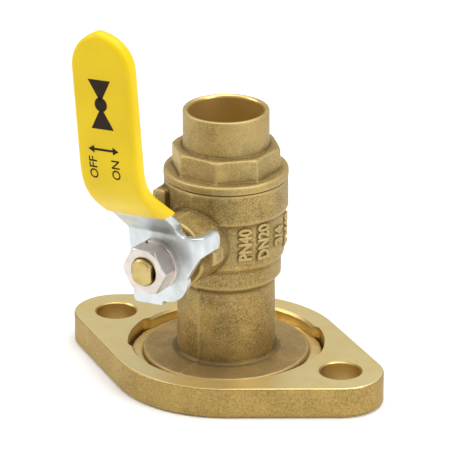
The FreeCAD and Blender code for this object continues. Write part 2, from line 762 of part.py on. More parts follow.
def build_lever():
    """Bent steel lever with its flatted hole and the ear that stops it against the body's lugs."""
    body = new_body("lever")
    bent_strip(body, "lever", "0", lever_outline())

    section = new_sketch(body, "ear_section", "XZ_Plane", "-Dims.ear_high")
    inside = "Dims.ear_outside - Dims.lever_thick"
    start = f"{inside} - Dims.lever_thick"
    polygon(section, [
        (start, "Dims.lever_back"),
        (inside, "Dims.lever_back", "Dims.ear_bend"),
        (inside, "Dims.ear_tip"),
        ("Dims.ear_outside", "Dims.ear_tip"),
        ("Dims.ear_outside", "Dims.lever_front", "Dims.lever_thick + Dims.ear_bend"),
        (start, "Dims.lever_front"),
    ])
    extrude(body, "Pad", "ear", section, "Dims.ear_high + Dims.ear_root")
    beyond = "Dims.ear_outside + Dims.lever_thick"
    under = new_sketch(body, "under_ear_tip", "XY_Plane")
    polygon(under, [(start, "-Dims.ear_root"), (beyond, "-Dims.ear_root"),
                    (beyond, "Dims.ear_low"), (start, "Dims.ear_low")])
    removed(body, lambda: extrude(body, "Pocket", "ear_tip_underside", under, "Dims.lever_back",
                                  flip=True))
    below = new_sketch(body, "below_ear", "XY_Plane")
    polygon(below, [
        ("Dims.hub_right", "-Dims.ear_root"),
        (beyond, "-Dims.ear_root"),
        (beyond, "Dims.ear_low"),
        ("Dims.ear_outside - Dims.ear_bend", "Dims.ear_low", "Dims.ear_round"),
    ])
    removed(body, lambda: extrude(body, "Pocket", "ear_underside", below, "2 * Dims.lever_front",
                                  flip=True))

    hole = new_sketch(body, "flatted_hole", "XY_Plane", turn=-size("Dims.lever_lean"))
    double_d(hole, "Dims.thread_radius + Dims.lever_hole_gap",
             "Dims.stem_flats + 2 * Dims.lever_hole_gap")
    removed(body, lambda: extrude(body, "Pocket", "stem_hole", hole, "2 * Dims.lever_front",
                                  flip=True))

    dress(body, "Fillet", "ear_tip_corners", "Dims.ear_round",
          lambda edge: is_line_at(edge, Vector(1, 0, 0), z="Dims.ear_tip"))
    place_on_stem(body, "Dims.lever_lean")
    return body


def is_grip_rim(edge):
    """Tell whether an edge of the grip runs along its front or its sides, clear of the dip line."""
    on_front = edge.BoundBox.ZMin > size("Dims.lever_front")
    on_side = abs(edge.CenterOfMass.x) > size("Dims.arm_half_width + Dims.vinyl") - TINY
    above_dip = edge.CenterOfMass.y > size("Dims.dip_line + Dims.vinyl / 2")
    return (on_front or on_side) and above_dip


def build_grip(lever):
    """Vinyl dipped over the lever's arm, from the dip line to past its end."""
    body = new_body("grip_solid")
    half = "Dims.arm_half_width + Dims.vinyl"
    top = "Dims.arm_top + Dims.vinyl"
    end_round = f"{half} - Dims.thread_gap"
    bent_strip(body, "grip", "Dims.vinyl", [
        (f"-({half})", "Dims.flare_end", "Dims.flare_round"),
        ("-Dims.flare_left - Dims.vinyl", "Dims.dip_line"),
        ("Dims.flare_at + Dims.vinyl", "Dims.dip_line"),
        (half, "Dims.flare_end", "Dims.flare_round"),
        (half, top, end_round),
        (f"-({half})", top, end_round),
    ])
    dress(body, "Fillet", "grip_edges", "Dims.vinyl_round", is_grip_rim)
    place_on_stem(body, "Dims.lever_lean")
    return combine("Cut", "lever_grip", body, lever)


# ---- nut and washer, in the stem frame ------------------------------------------------------------

def build_lock_washer():
    """Split lock washer between the lever and its nut."""
    ring = tube("washer_ring", "Dims.washer_inner_radius", "Dims.washer_outer_radius",
                "Dims.lever_front", "Dims.washer_face - Dims.lever_front")
    split = primitive("Box", "washer_slit",
                      ("0", "-Dims.washer_split / 2", "Dims.lever_front - Dims.overrun"),
                      Length="Dims.washer_outer_radius + Dims.overrun", Width="Dims.washer_split",
                      Height="Dims.washer_face - Dims.lever_front + 2 * Dims.overrun")
    washer = combine("Cut", "lock_washer", ring, split)
    place_on_stem(washer, "Dims.washer_split_angle")
    return washer


def build_nut():
    """Hexagon nut with both faces chamfered and a countersunk hole."""
    body = new_body("nut_solid")
    section = new_sketch(body, "nut_section", "XZ_Plane")
    slope = "Dims.nut_chamfer * tan(Dims.nut_chamfer_angle)"
    corner = "Dims.nut_flats / sqrt(3) + Dims.nut_oversize"
    polygon(section, [
        ("Dims.nut_bore_radius", "Dims.washer_face"),
        (f"{corner} - Dims.nut_chamfer", "Dims.washer_face"),
        (corner, f"Dims.washer_face + {slope}"),
        (corner, f"Dims.nut_face - {slope}"),
        (f"{corner} - Dims.nut_chamfer", "Dims.nut_face"),
        ("Dims.nut_bore_radius + Dims.nut_countersink", "Dims.nut_face"),
        ("Dims.nut_bore_radius", "Dims.nut_face - Dims.nut_countersink"),
    ])
    turn_profile(body, "Revolution", "nut_turned", section)
    prism = primitive("Prism", "nut_hexagon", ("0", "0", "Dims.washer_face - Dims.overrun"),
                      Circumradius="Dims.nut_flats / sqrt(3)",
                      Height="Dims.nut_face - Dims.washer_face + 2 * Dims.overrun")
    prism.Polygon = 6
    nut = combine("Common", "lever_nut", body, prism)
    place_on_stem(nut, "Dims.nut_turn")
    return nut


# ---- swivel flange --------------------------------------------------------------------------------

def flange_outline(sketch):
    """Draw the outline: a middle circle and two end circles joined by tangent lines."""
    mid = size("Dims.flange_mid_radius")
    end = size("Dims.flange_end_radius")
    reach = size("Dims.bolt_spacing / 2")
    touch = math.acos((mid - end) / reach)
    half_turn = math.pi

    def on_circle(across, radius, angle):
        return Vector(across + radius * math.cos(angle), radius * math.sin(angle), 0)

    angles = (touch, half_turn - touch, half_turn + touch, 2 * half_turn - touch)
    on_mid = [on_circle(0, mid, angle) for angle in angles]
    on_end = [on_circle(math.copysign(reach, math.cos(angle)), end, angle) for angle in angles]
    top = sketch.addGeometry(arc_about(Vector(), mid, angles[0], angles[1]))
    left = sketch.addGeometry(arc_about(Vector(-reach, 0, 0), end, angles[1], angles[2]))
    foot = sketch.addGeometry(arc_about(Vector(), mid, angles[2], angles[3]))
    right = sketch.addGeometry(arc_about(Vector(reach, 0, 0), end, -touch, touch))
    for arc, radius, across in ((top, "Dims.flange_mid_radius", "0"),
                                (foot, "Dims.flange_mid_radius", "0"),
                                (left, "Dims.flange_end_radius", "-Dims.bolt_spacing / 2"),
                                (right, "Dims.flange_end_radius", "Dims.bolt_spacing / 2")):
        pin_point(sketch, arc, 3, across, "0")
        dimension(sketch, Sketcher.Constraint("Radius", arc, size(radius)), radius)
    for start_arc, end_arc, first, last in ((top, left, on_mid[1], on_end[1]),
                                            (left, foot, on_end[2], on_mid[2]),
                                            (foot, right, on_mid[3], on_end[3]),
                                            (right, top, on_end[0], on_mid[0])):
        line = sketch.addGeometry(Part.LineSegment(first, last))
        sketch.addConstraint(Sketcher.Constraint("Tangent", start_arc, 2, line, 1))
        sketch.addConstraint(Sketcher.Constraint("Tangent", line, 2, end_arc, 1))


def notch_cutters(side):
    """Make the cutters of one relief notch: a sector and a round cutter at each end of it."""
    middle = f"Dims.notch_{side}"
    sector = primitive("Cylinder", f"notch_{side}_sector", Radius="Dims.notch_radius",
                       Height="2 * Dims.flange_top", Angle="Dims.notch_sweep")
    sector.Placement.Rotation = Rotation(Vector(0, 0, 1), size(f"{middle} - Dims.notch_sweep / 2"))
    cutters = [sector]
    for name, sign in (("start", "-"), ("end", "+")):
        angle = f"({middle} {sign} Dims.notch_sweep / 2) * 1deg"
        reach = "(Dims.notch_radius - Dims.notch_corner)"
        place = (f"{reach} * cos({angle})", f"{reach} * sin({angle})", "0")
        cutters.append(primitive("Cylinder", f"notch_{side}_{name}", place,
                                 Radius="Dims.notch_corner", Height="2 * Dims.flange_top"))
    return cutters


def build_flange():
    """Rotating flange: bolt holes, a lip that bears on the body's shoulder and two relief notches."""
    body = new_body("flange_blank")
    outline = new_sketch(body, "flange_outline", "XY_Plane", "Dims.flange_bottom")
    flange_outline(outline)
    extrude(body, "Pad", "flange_plate", outline, "Dims.flange_top - Dims.flange_bottom")
    dress(body, "Fillet", "flange_edges", "Dims.flange_edge_round",
          lambda edge: abs(edge.CenterOfMass.z - size("Dims.flange_top")) < TINY
          or abs(edge.CenterOfMass.z - size("Dims.flange_bottom")) < TINY)
    for name, side in (("right", ""), ("left", "-")):
        ring = new_sketch(body, f"{name}_bolt_circle", "XY_Plane", "Dims.flange_top")
        circle(ring, "Dims.bolt_hole_radius", across=f"{side}Dims.bolt_spacing / 2")
        removed(body, lambda: extrude(body, "Pocket", f"{name}_bolt_hole", ring, "Dims.flange_top"))
    dress(body, "Chamfer", "bolt_hole_edges", "Dims.bolt_hole_chamfer",
          lambda edge: is_ring(edge, "Dims.bolt_hole_radius", "Dims.flange_top")
          or is_ring(edge, "Dims.bolt_hole_radius", "Dims.flange_bottom"))
    opening = new_sketch(body, "flange_opening", "XZ_Plane")
    polygon(opening, [
        ("0", "Dims.flange_bottom - Dims.overrun"),
        ("Dims.counterbore_radius", "Dims.flange_bottom - Dims.overrun"),
        ("Dims.counterbore_radius", "Dims.lip_bottom"),
        ("Dims.lip_radius", "Dims.lip_bottom"),
        ("Dims.lip_radius", "Dims.flange_top - Dims.lip_bevel"),
        ("Dims.lip_radius + Dims.lip_bevel", "Dims.flange_top"),
        ("Dims.lip_radius + Dims.lip_bevel", "Dims.flange_top + Dims.overrun"),
        ("0", "Dims.flange_top + Dims.overrun"),
    ])
    removed(body, lambda: turn_profile(body, "Groove", "flange_bore", opening))

    cutters = doc.addObject("Part::MultiFuse", "notch_cutters")
    cutters.Shapes = notch_cutters("right") + notch_cutters("left")
    return combine("Cut", "swivel_flange", body, cutters)


# ---- assembly -------------------------------------------------------------------------------------

def build_all():
    """Build every sub-part and return the ones that are written out."""
    lever = build_lever()
    return [
        build_valve_body(),
        build_end_adapter(),
        build_seal_ring(),
        build_seat_ring("seat_ring_lower", "Dims.stem_height - Dims.seat_far"),
        build_seat_ring("seat_ring_upper", "Dims.stem_height + Dims.seat_near"),
        build_ball(),
        build_stem(),
        *build_stem_rings(),
        build_gland(),
        lever,
        build_grip(lever),
        build_lock_washer(),
        build_nut(),
        build_flange(),
    ]


def check_and_write(parts):
    """Stop on any failed object or bad shape, then write each sub-part as STEP."""
    doc.recompute()
    for item in doc.Objects:
        if "Invalid" in item.State or "Error" in item.State:
            raise RuntimeError(f"{item.Label}: {item.State}")
    for item in parts:
        if item.Shape.isNull() or not item.Shape.isValid() or not item.Shape.Solids:
            raise RuntimeError(f"{item.Label}: bad shape")
    os.makedirs(PARTS_FOLDER, exist_ok=True)
    for item in parts:
        item.Shape.exportStep(os.path.join(PARTS_FOLDER, f"{item.Label}.step"))
        print(f"{item.Label}: {item.Shape.Volume:.1f} mm3, {len(item.Shape.Solids)} solid(s)")


check_and_write(build_all())
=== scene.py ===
"""Looks for an isolation ball valve with a solder socket, a swivel pump flange and a bent lever.

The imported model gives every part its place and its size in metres. This script softens the cast, bent
and dipped parts, adds the mould seam, the raised size marks and the print on the grip, and gives every
part its finish. +Z runs up the pipe, the two flange bolts lie along X and the stem points along -Y.
"""
import json
import logging
import math
from dataclasses import dataclass
from enum import Enum
from typing import Any

import bmesh
import bpy
from mathutils import Matrix, Vector, noise
from mathutils.bvhtree import BVHTree


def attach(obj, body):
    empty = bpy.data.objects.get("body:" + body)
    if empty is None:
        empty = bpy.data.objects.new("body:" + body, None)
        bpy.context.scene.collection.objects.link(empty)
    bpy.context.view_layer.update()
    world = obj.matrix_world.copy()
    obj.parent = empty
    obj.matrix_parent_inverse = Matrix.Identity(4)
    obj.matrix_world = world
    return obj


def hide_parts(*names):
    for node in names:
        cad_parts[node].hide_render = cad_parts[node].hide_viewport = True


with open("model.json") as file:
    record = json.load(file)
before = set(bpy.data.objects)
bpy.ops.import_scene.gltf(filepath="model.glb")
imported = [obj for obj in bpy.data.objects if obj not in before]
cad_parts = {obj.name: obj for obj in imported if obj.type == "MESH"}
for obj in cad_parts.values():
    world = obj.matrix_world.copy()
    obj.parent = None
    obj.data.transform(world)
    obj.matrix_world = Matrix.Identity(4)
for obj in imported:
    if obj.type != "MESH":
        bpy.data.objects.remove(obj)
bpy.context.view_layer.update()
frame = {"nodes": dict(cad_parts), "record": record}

logging.basicConfig(level=logging.INFO, format="%(message)s")
log = logging.getLogger("valve")

MM = 0.001
STEM_HEIGHT = 47.2 * MM
LEVER_LEAN = math.radians(4.5)
# Depth of hollow or bulge that gives full painted shade or full painted highlight
SHADING_DEPTH = 0.016 * MM

Colour = tuple[float, float, float]
Triple = tuple[float, float, float]


class Body(Enum):
    """The bodies that pieces ride on."""
    VALVE = "valve"
    LEVER = "lever_set"
    FLANGE = "flange"


class Slot(Enum):
    """The record's material slots."""
    CAST = "cast_brass"
    MACHINED = "machined_brass"
    TURNED = "stem_brass"
    CHROME = "chrome_ball"
    PTFE = "ptfe"
    ZINC = "zinc_steel"
    NUT = "nut_steel"
    VINYL = "vinyl"


# ---- shader expressions ---------------------------------------------------------------------------

class Value:
    """A number socket that takes part in Python expressions."""

    def __init__(self, graph: "Graph", socket: bpy.types.NodeSocket) -> None:
        """Wrap a socket of one graph."""
        self.graph = graph
        self.socket = socket

    def _math(self, operation: str, *operands: Any) -> "Value":
        """Add a Math node on some operands."""
        return self.graph.math(operation, *operands)

    def __add__(self, other: Any) -> "Value":
        """Add."""
        return self._math("ADD", self, other)

    __radd__ = __add__

    def __sub__(self, other: Any) -> "Value":
        """Subtract."""
        return self._math("SUBTRACT", self, other)

    def __rsub__(self, other: Any) -> "Value":
        """Subtract this from a number."""
        return self._math("SUBTRACT", other, self)

    def __mul__(self, other: Any) -> "Value":
        """Multiply."""
        return self._math("MULTIPLY", self, other)

    __rmul__ = __mul__

    def __pow__(self, other: Any) -> "Value":
        """Raise to a power."""
        return self._math("POWER", self, other)

    def smooth(self, low: float, high: float) -> "Value":
        """Run smoothly from 0 at one level to 1 at another."""
        return self.graph.node("ShaderNodeMapRange", {"interpolation_type": "SMOOTHSTEP"},
                               {"Value": self, "From Min": low, "From Max": high})


class Graph:
    """One material's node tree, built by expressions."""

    def __init__(self, name: str) -> None:
        """Start a material of one name with its shader and output."""
        self.material = bpy.data.materials.new(name)
        self.material.use_nodes = True
        self.tree = self.material.node_tree
        self.shader = self.tree.nodes["Principled BSDF"]
        coordinates = self.tree.nodes.new("ShaderNodeTexCoord").outputs["Object"]
        self.place = self.vector("SCALE", coordinates, scale=1 / MM)

    def node(self, kind: str, settings: dict[str, Any] | None = None,
             inputs: dict[str | int, Any] | None = None, output: str | int = 0) -> Value:
        """Add a node.

        Args:
            kind: the node's type.
            settings: properties set before its sockets.
            inputs: values or links of its sockets.
            output: which output to return.

        Returns:
            The output as a value.
        """
        node = self.tree.nodes.new(kind)
        for name, value in (settings or {}).items():
            setattr(node, name, value)
        for name, value in (inputs or {}).items():
            self.feed(node.inputs[name], value)
        return Value(self, node.outputs[output])

    def feed(self, socket: bpy.types.NodeSocket, value: Any) -> None:
        """Link a value to a socket, or set the socket's own number, vector or colour."""
        if isinstance(value, Value):
            self.tree.links.new(value.socket, socket)
        elif isinstance(value, bpy.types.NodeSocket):
            self.tree.links.new(value, socket)
        elif isinstance(value, (tuple, list)) and len(value) == 3 and socket.type == "RGBA":
            socket.default_value = (*value, 1.0)
        else:
            socket.default_value = value

    def math(self, operation: str, *operands: Any) -> Value:
        """Add a Math node."""
        return self.node("ShaderNodeMath", {"operation": operation}, dict(enumerate(operands)))

    def vector(self, operation: str, *operands: Any, scale: float = 1.0) -> Value:
        """Add a Vector Math node with a vector result."""
        inputs: dict[str | int, Any] = dict(enumerate(operands))
        if operation == "SCALE":
            inputs["Scale"] = scale
        return self.node("ShaderNodeVectorMath", {"operation": operation}, inputs)

    def axes(self, source: Any) -> tuple[Value, Value, Value]:
        """Split a vector into its three numbers."""
        split = self.node("ShaderNodeSeparateXYZ", inputs={0: source}).socket.node
        return tuple(Value(self, socket) for socket in split.outputs)

    def noise(self, size: float, detail: float = 3.0, roughness: float = 0.55,
              stretch: Triple = (1.0, 1.0, 1.0), distortion: float = 0.0) -> Value:
        """Noise whose features are about one size in millimetres, stretched along the axes."""
        where = self.vector("MULTIPLY", self.place, tuple(1 / (size * each) for each in stretch))
        return self.node("ShaderNodeTexNoise", {}, {"Vector": where, "Scale": 1.0, "Detail": detail,
                                                    "Roughness": roughness, "Distortion": distortion})

    def cells(self, size: float) -> Value:
        """Distance to the nearest point of a random set, about one size in millimetres apart."""
        where = self.vector("SCALE", self.place, scale=1 / size)
        return self.node("ShaderNodeTexVoronoi", {}, {"Vector": where, "Scale": 1.0})

    def mix(self, share: Any, first: Any, second: Any) -> Value:
        """Mix two colours."""
        return self.node("ShaderNodeMix", {"data_type": "RGBA"},
                         {0: share, 6: first, 7: second}, output=2)

    def ramp(self, source: Any, stops: list[tuple[float, Colour]]) -> Value:
        """Turn a number into a colour through a ramp's stops."""
        node = self.tree.nodes.new("ShaderNodeValToRGB")
        elements = node.color_ramp.elements
        while len(elements) < len(stops):
            elements.new(0.5)
        for element, (position, colour) in zip(elements, stops):
            element.position = position
            element.color = (*colour, 1.0)
        self.feed(node.inputs[0], source)
        return Value(self, node.outputs[0])

    def attribute(self, name: str) -> Value:
        """A number stored on the mesh's vertices; 0 on a mesh without it."""
        return self.node("ShaderNodeAttribute", {"attribute_name": name}, output="Fac")

    def wear_and_highlight_edge(self, low: float, high: float) -> Value:
        """A mask that rises on outer edges, used for worn edges and painted edge highlight."""
        return self.node("ShaderNodeNewGeometry", output="Pointiness").smooth(low, high)

    def bump(self, height: Any, strength: float, depth: float) -> Value:
        """Bump from a height, with its depth in millimetres."""
        return self.node("ShaderNodeBump", {}, {"Height": height, "Strength": strength,
                                                "Distance": depth * MM})

    def finish(self, **inputs: Any) -> bpy.types.Material:
        """Feed the shader's sockets, named with underscores for spaces."""
        for name, value in inputs.items():
            self.feed(self.shader.inputs[name.replace("_", " ")], value)
        return self.material


# ---- finishes -------------------------------------------------------------------------------------

@dataclass(frozen=True)
class CastBrass:
    """Grit-blasted brass casting: mottled olive and golden brown, with machined bores."""
    dark: Colour = (0.115, 0.072, 0.022)
    middle: Colour = (0.310, 0.213, 0.070)
    light: Colour = (0.560, 0.425, 0.185)
    patch: Colour = (0.330, 0.262, 0.110)
    rosy: Colour = (0.400, 0.262, 0.120)
    honey: Colour = (0.520, 0.340, 0.085)
    glint: Colour = (0.720, 0.560, 0.270)
    # Colour of the painted shade in hollows and round the size marks
    painted_shade_colour: Colour = (0.060, 0.034, 0.010)
    turned: Colour = (0.95, 0.74, 0.32)
    bore_dark: Colour = (0.68, 0.49, 0.17)
    bore_light: Colour = (0.82, 0.64, 0.29)
    grain: float = 0.55
    socket_inside: float = 11.9
    socket_floor: float = 64.0
    collar_bottom: float = 63.0
    rosy_below: float = 8.4
    disc_rim: float = 25.0
    rim_top: float = 6.3

    def build(self) -> bpy.types.Material:
        """Make the material."""
        graph = Graph("cast_brass")
        grit = graph.noise(self.grain, 3.0, 0.65)
        fine = graph.noise(self.grain * 0.4, 2.0, 0.6)
        clouds = graph.noise(6.0, 4.0, 0.6, distortion=0.6)
        tint = graph.noise(14.0, 2.0, 0.5)
        mottle = grit * 0.52 + clouds * 0.33 + fine * 0.28
        colour = graph.ramp(mottle, [(0.40, self.dark), (0.55, self.middle), (0.74, self.light)])
        colour = graph.mix(tint.smooth(0.45, 0.65) * 0.5, colour, self.patch)
        warm = graph.noise(9.0, 3.0, 0.6, stretch=(1.0, 1.0, 1.6))
        colour = graph.mix(warm.smooth(0.50, 0.68) * 0.40, colour, self.honey)
        # Outer edges lightened: partly wear, partly painted edge highlight
        edges = graph.wear_and_highlight_edge(0.52, 0.60)
        colour = graph.mix(edges * 0.6, colour, self.light)
        glints = graph.noise(self.grain * 0.5, 1.0, 0.5).smooth(0.54, 0.68)
        colour = graph.mix(glints * 0.42, colour, self.glint)
        x, y, z = graph.axes(graph.place)
        colour = graph.mix(z.smooth(self.collar_bottom, self.collar_bottom + 0.4) * 0.22, colour,
                           self.light)
        colour = graph.mix((1 - z.smooth(self.rosy_below, self.rosy_below + 1.0)) * 0.35, colour,
                           self.rosy)
        # Painted highlight: lighter on bulges, along the seam and on the tops of the letters
        colour = graph.mix(graph.attribute("raised") * 0.55, colour, self.light)
        # Painted shade: darker in hollows, at the feet of the letters and round them
        colour = graph.mix(graph.attribute("hollow") * (0.25 + clouds * 0.7), colour, self.painted_shade_colour)
        radius = graph.math("SQRT", x * x + y * y)
        inside = (1 - radius.smooth(self.socket_inside, self.socket_inside + 0.1)) * \
            z.smooth(self.socket_floor, self.socket_floor + 0.2)
        rings = graph.math("SINE", z * 14.0) * 0.5 + 0.5
        bored = graph.mix(rings * 0.25 + fine * 0.2, self.bore_dark, self.bore_light)
        colour = graph.mix(inside, colour, bored)
        turned = radius.smooth(self.disc_rim, self.disc_rim + 0.1) * \
            (1 - z.smooth(self.rim_top, self.rim_top + 0.3))
        colour = graph.mix(turned, colour, self.turned)
        bare = graph.math("MAXIMUM", inside, turned)
        height = (grit * 0.7 + fine * 0.5) * (1 - bare)
        pits = graph.cells(1.1).smooth(0.0, 0.25)
        bump = graph.bump(height + pits * 0.25 * (1 - bare), 0.75, 0.16)
        roughness = 0.46 + grit * 0.16 - bare * 0.22
        return graph.finish(Base_Color=colour, Metallic=0.82, Roughness=roughness, Normal=bump)


@dataclass(frozen=True)
class MachinedBrass:
    """Flange: faces and bores machined to a smooth pale gold, sides left as cast; bore walls darkened as
    painted shade.
    """
    pale: Colour = (1.00, 0.84, 0.42)
    gold: Colour = (0.90, 0.66, 0.25)
    dark: Colour = (0.30, 0.20, 0.07)
    # Painted shade of the bore walls
    bore_wall_shade: Colour = (0.52, 0.35, 0.11)
    cast: Colour = (0.45, 0.31, 0.095)
    cast_light: Colour = (0.56, 0.42, 0.155)
    bolt_out: float = 40.08
    hole_edge: float = 6.4
    bore_past_hole: float = 23.3

    def build(self) -> bpy.types.Material:
        """Make the material."""
        graph = Graph("machined_brass")
        normal = graph.axes(graph.node("ShaderNodeNewGeometry", output="True Normal"))
        x, y, z = graph.axes(graph.place)
        radius = graph.math("SQRT", x * x + y * y)
        flat = graph.math("ABSOLUTE", normal[2]).smooth(0.75, 0.95)
        hole = graph.math("SQRT", (graph.math("ABSOLUTE", x) - self.bolt_out) ** 2.0 + y * y)
        nearest = graph.math("MINIMUM", radius - self.bore_past_hole, hole)
        bores = 1 - nearest.smooth(self.hole_edge, self.hole_edge + 0.3)
        machined = graph.math("MAXIMUM", flat, bores)
        haze = graph.noise(9.0, 3.0, 0.5)
        lathe = graph.noise(0.35, 2.0, 0.5, stretch=(14.0, 14.0, 0.7))
        smooth_colour = graph.mix(haze.smooth(0.3, 0.7) * 0.5 + lathe * 0.15, self.pale, self.gold)
        grit = graph.noise(0.6, 3.0, 0.65)
        fine = graph.noise(0.25, 2.0, 0.6)
        cast_colour = graph.ramp(grit * 0.7 + haze * 0.3,
                                 [(0.38, self.dark), (0.52, self.cast), (0.72, self.cast_light)])
        # Bore walls darker than the machined faces: painted shade
        walls = bores * (1 - flat)
        smooth_colour = graph.mix(walls * 0.75, smooth_colour, self.bore_wall_shade)
        colour = graph.mix(machined, cast_colour, smooth_colour)
        stains = graph.noise(3.0, 5.0, 0.7).smooth(0.62, 0.72) * 0.25
        colour = graph.mix(stains, colour, self.dark)
        height = (grit * 0.7 + fine * 0.5) * (1 - machined) + lathe * 0.06 + fine * 0.05
        bump = graph.bump(height, 0.45, 0.12)
        roughness = 0.48 - machined * 0.16 + haze * 0.1
        return graph.finish(Base_Color=colour, Metallic=0.9, Roughness=roughness, Normal=bump)


@dataclass(frozen=True)
class PlainMetal:
    """A turned, plated or polished metal with faint marks, and outer edges lightened as wear and painted
    highlight where asked.
    """
    name: str
    light: Colour
    dark: Colour
    roughness: float
    metallic: float = 1.0
    marks: Triple = (1.0, 1.0, 1.0)
    mark_size: float = 0.5
    mark_depth: float = 0.03
    mark_share: float = 0.35
    # How far outer edges are lightened: wear and painted highlight
    edge_wear_and_highlight: float = 0.0

    def build(self) -> bpy.types.Material:
        """Make the material."""
        graph = Graph(self.name)
        streaks = graph.noise(self.mark_size, 4.0, 0.6, stretch=self.marks)
        clouds = graph.noise(5.0, 3.0, 0.55)
        specks = graph.noise(0.7, 3.0, 0.7).smooth(0.60, 0.72)
        share = streaks * self.mark_share + clouds.smooth(0.35, 0.7) * 0.4 + specks * 0.12
        colour = graph.mix(share, self.light, self.dark)
        # Outer edges lightened: wear and painted edge highlight
        if self.edge_wear_and_highlight:
            colour = graph.mix(graph.wear_and_highlight_edge(0.52, 0.58) * self.edge_wear_and_highlight, colour, self.light)
        roughness = self.roughness + clouds * 0.14 + streaks * 0.08
        bump = graph.bump(streaks + specks * 0.3, 0.5, self.mark_depth)
        return graph.finish(Base_Color=colour, Metallic=self.metallic, Roughness=roughness,
                            Normal=bump)


@dataclass(frozen=True)
class DippedVinyl:
    """Glossy yellow vinyl with slow waves from dipping."""
    yellow: Colour = (0.76, 0.54, 0.006)
    deep: Colour = (0.69, 0.47, 0.004)

    def build(self) -> bpy.types.Material:
        """Make the material."""
        graph = Graph("vinyl")
        waves = graph.noise(11.0, 2.0, 0.4)
        peel = graph.noise(1.6, 2.0, 0.5)
        dust = graph.noise(0.5, 2.0, 0.6).smooth(0.66, 0.75)
        colour = graph.mix(waves.smooth(0.3, 0.7) * 0.6, self.yellow, self.deep)
        bump = graph.bump(waves * 0.6 + peel * 0.08 + dust * 0.05, 0.35, 0.35)
        return graph.finish(Base_Color=colour, Roughness=0.26 + peel * 0.08, Normal=bump,
                            IOR=1.28, Coat_Weight=0.06, Coat_Roughness=0.12)


@dataclass(frozen=True)
class Waxy:
    """White PTFE of the seats and seals."""
    white: Colour = (0.82, 0.82, 0.78)
    grey: Colour = (0.66, 0.65, 0.60)

    def build(self) -> bpy.types.Material:
        """Make the material."""
        graph = Graph("ptfe")
        clouds = graph.noise(3.0, 3.0, 0.5)
        lathe = graph.noise(0.3, 2.0, 0.5, stretch=(10.0, 10.0, 0.8))
        colour = graph.mix(clouds * 0.6, self.white, self.grey)
        return graph.finish(Base_Color=colour, Roughness=0.45 + clouds * 0.15,
                            Normal=graph.bump(lathe, 0.4, 0.03))


@dataclass(frozen=True)
class PadPrint:
    """Dark brown pad print, a little uneven."""
    ink: Colour = (0.020, 0.010, 0.004)
    thin: Colour = (0.060, 0.032, 0.008)

    def build(self) -> bpy.types.Material:
        """Make the material."""
        graph = Graph("pad_print")
        uneven = graph.noise(0.8, 3.0, 0.6).smooth(0.5, 0.8)
        colour = graph.mix(uneven * 0.6, self.ink, self.thin)
        return graph.finish(Base_Color=colour, Roughness=0.5 + uneven * 0.2, IOR=1.25)


@dataclass(frozen=True)
class Paper:
    """Plain pale floor."""
    white: Colour = (0.86, 0.86, 0.86)

    def build(self) -> bpy.types.Material:
        """Make the material."""
        graph = Graph("floor")
        return graph.finish(Base_Color=self.white, Roughness=0.9)


def finishes() -> dict[Slot, bpy.types.Material]:
    """Build the finish of every slot."""
    return {
        Slot.CAST: CastBrass().build(),
        Slot.MACHINED: MachinedBrass().build(),
        Slot.TURNED: PlainMetal("stem_brass", (0.62, 0.48, 0.20), (0.34, 0.24, 0.08), 0.28,
                                marks=(1.0, 12.0, 1.0), mark_size=0.6).build(),
        Slot.CHROME: PlainMetal("chrome_ball", (0.80, 0.80, 0.82), (0.62, 0.62, 0.64), 0.08).build(),
        Slot.PTFE: Waxy().build(),
        Slot.ZINC: PlainMetal("zinc_steel", (0.70, 0.735, 0.735), (0.44, 0.475, 0.48), 0.30,
                              marks=(1.0, 1.0, 4.0), mark_size=0.9, mark_depth=0.025,
                              edge_wear_and_highlight=0.5).build(),
        Slot.NUT: PlainMetal("nut_steel", (0.74, 0.675, 0.62), (0.50, 0.445, 0.41), 0.24,
                             marks=(5.0, 1.0, 1.0), mark_size=0.6, mark_depth=0.02,
                             edge_wear_and_highlight=0.6).build(),
        Slot.VINYL: DippedVinyl().build(),
    }


# ---- meshes ---------------------------------------------------------------------------------------

def add_piece(name: str, bm: bmesh.types.BMesh, material: bpy.types.Material, body: Body) -> bpy.types.Object:
    """Turn a bmesh into a piece that rides on a body.

    Args:
        name: the piece's name.
        bm: its mesh in the row's frame, freed here.
        material: its finish.
        body: the body it rides on.

    Returns:
        The new object.
    """
    mesh = bpy.data.meshes.new(name)
    bm.to_mesh(mesh)
    bm.free()
    mesh.materials.append(material)
    mesh.shade_smooth()
    piece = bpy.data.objects.new(name, mesh)
    bpy.context.scene.collection.objects.link(piece)
    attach(piece, body.value)
    log.info("%s: %d faces on %s", name, len(mesh.polygons), body.value)
    return piece


def merged_copy(node: str) -> bmesh.types.BMesh:
    """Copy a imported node's mesh and join its loose triangles."""
    bm = bmesh.new()
    bm.from_mesh(frame["nodes"][node].data)
    bmesh.ops.remove_doubles(bm, verts=bm.verts, dist=0.002 * MM)
    bmesh.ops.recalc_face_normals(bm, faces=bm.faces)
    return bm


def remeshed(bm: bmesh.types.BMesh, voxel: float, passes: int) -> bmesh.types.BMesh:
    """Remesh a solid evenly and soften its edges.

    Args:
        bm: the solid, freed here.
        voxel: cell size in metres.
        passes: rounds of smoothing.

    Returns:
        The softened mesh.
    """
    mesh = bpy.data.meshes.new("working")
    bm.to_mesh(mesh)
    bm.free()
    working = bpy.data.objects.new("working", mesh)
    bpy.context.scene.collection.objects.link(working)
    grid = working.modifiers.new("grid", "REMESH")
    grid.mode = "VOXEL"
    grid.voxel_size = voxel
    ease = working.modifiers.new("ease", "SMOOTH")
    ease.factor = 0.5
    ease.iterations = passes
    evaluated = working.evaluated_get(bpy.context.evaluated_depsgraph_get())
    result = bmesh.new()
    result.from_mesh(evaluated.to_mesh())
    evaluated.to_mesh_clear()
    bpy.data.objects.remove(working)
    bpy.data.meshes.remove(mesh)
    result.normal_update()
    return result


